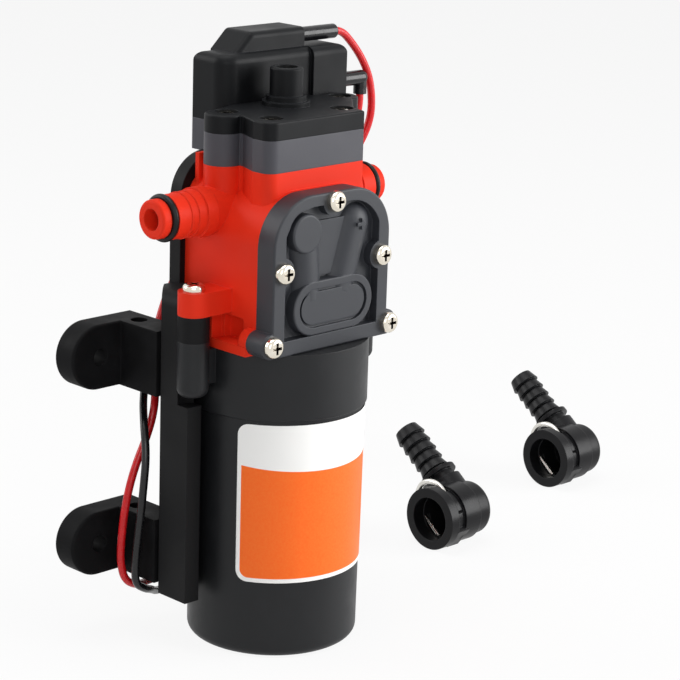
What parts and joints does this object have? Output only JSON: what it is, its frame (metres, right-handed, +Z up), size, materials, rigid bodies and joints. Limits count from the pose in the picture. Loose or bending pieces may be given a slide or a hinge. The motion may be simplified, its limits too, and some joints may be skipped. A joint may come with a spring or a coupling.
{
  "type": "water pressure pump",
  "caption": "Upright diaphragm water pump with motor, pump head, pressure switch, ports, rubber feet and loose hose elbows.",
  "frame": {"origin": "centre of the motor can's closed end, on the surface the pump stands on", "axes": "+Z up the motor axis, -Y towards the valve cover, +Y towards the mounting plane of the feet, ports along -X and +X"},
  "size_m": [0.2131, 0.0798, 0.1573],
  "materials": {
    "motor_paint": "satin",
    "steel": "satin",
    "ferrite": "matte",
    "carbon": "matte",
    "label": "satin",
    "black_plastic": "satin",
    "rubber": "matte",
    "foot_rubber": "matte",
    "orange_plastic": "satin",
    "brass": "satin",
    "black_sleeve": "gloss",
    "copper_wire": "satin",
    "red_lead": "gloss",
    "black_lead": "gloss",
    "clip_steel": "polished",
    "screw_steel": "satin"
  },
  "bodies": {
    "pump": {"bare_end_black": "copper_wire", "bare_end_red": "copper_wire", "brush_left": "carbon", "brush_right": "carbon", "cover_screw_bottom_left": "screw_steel", "cover_screw_bottom_right": "screw_steel", "cover_screw_middle_left": "screw_steel", "cover_screw_middle_right": "screw_steel", "cover_screw_top": "screw_steel", "diaphragm": "rubber", "foot_lower_left": "foot_rubber", "foot_lower_right": "foot_rubber", "foot_upper_left": "foot_rubber", "foot_upper_right": "foot_rubber", "front_bearing": "steel", "inlet_valve": "rubber", "label_band": "label", "lead_grommet": "rubber", "lead_lower": "red_lead", "lead_motor_black": "black_lead", "lead_motor_red": "red_lead", "lead_upper": "red_lead", "lower_boot": "black_sleeve", "lower_tab": "brass", "magnet_left": "ferrite", "magnet_right": "ferrite", "motor_can": "motor_paint", "motor_flange": "motor_paint", "mounting_bracket": "black_plastic", "outlet_valve": "rubber", "port_ring_left": "rubber", "port_ring_right": "rubber", "pressure_spring": "steel", "pump_housing": "orange_plastic", "rear_bearing": "steel", "switch_base": "black_plastic", "switch_cover": "black_plastic", "switch_housing": "black_plastic", "switch_screw_front_left": "screw_steel", "switch_screw_front_right": "screw_steel", "switch_screw_left": "screw_steel", "switch_screw_right": "screw_steel", "through_bolt_left": "screw_steel", "through_bolt_right": "screw_steel", "upper_sleeve": "black_sleeve", "upper_tab": "brass", "valve_cover": "black_plastic", "valve_plate": "black_plastic"},
    "rotor": {"armature": "steel", "crank": "steel", "crank_bearing": "steel"},
    "yoke": {"yoke": "black_plastic"},
    "piston": {"piston": "black_plastic"},
    "adjuster": {"adjuster": "black_plastic"},
    "elbow_1": {"elbow_1": "black_plastic"},
    "elbow_2": {"elbow_2": "black_plastic"},
    "elbow_clip_1": {"elbow_clip_1": "clip_steel"},
    "elbow_clip_2": {"elbow_clip_2": "clip_steel"}
  },
  "joints": [
    {"name": "motor_shaft", "type": "hinge", "parent": "pump", "child": "rotor", "pos_m": [0, 0, 0], "axis": [0, 0, 1], "continuous": true},
    {"name": "pump_stroke", "type": "slide", "parent": "pump", "child": "yoke", "axis": [0, 1, 0], "range_m": [-0.0008, 0.0008], "stiffness_N_per_m": 400, "deforming": ["diaphragm"]},
    {"name": "pressure_piston", "type": "slide", "parent": "pump", "child": "piston", "axis": [0, 0, 1], "range_m": [0, 0.0006], "stiffness_N_per_m": 900, "deforming": ["pressure_spring"]},
    {"name": "pressure_adjuster", "type": "hinge", "parent": "pump", "child": "adjuster", "pos_m": [0.006, 0.0056, 0.147], "axis": [0, 0, 1], "range_deg": [-720, 720]},
    {"name": "elbow_1_lift", "type": "slide", "parent": "pump", "child": "elbow_1", "axis": [0, 0, 1], "range_m": [0, 0.15]},
    {"name": "clip_1_pull", "type": "slide", "parent": "elbow_1", "child": "elbow_clip_1", "axis": [0, 0.788, 0.6157], "range_m": [0, 0.006]},
    {"name": "elbow_2_lift", "type": "slide", "parent": "pump", "child": "elbow_2", "axis": [0, 0, 1], "range_m": [0, 0.15]},
    {"name": "clip_2_pull", "type": "slide", "parent": "elbow_2", "child": "elbow_clip_2", "axis": [0, 0.788, 0.6157], "range_m": [0, 0.006]}
  ]
}
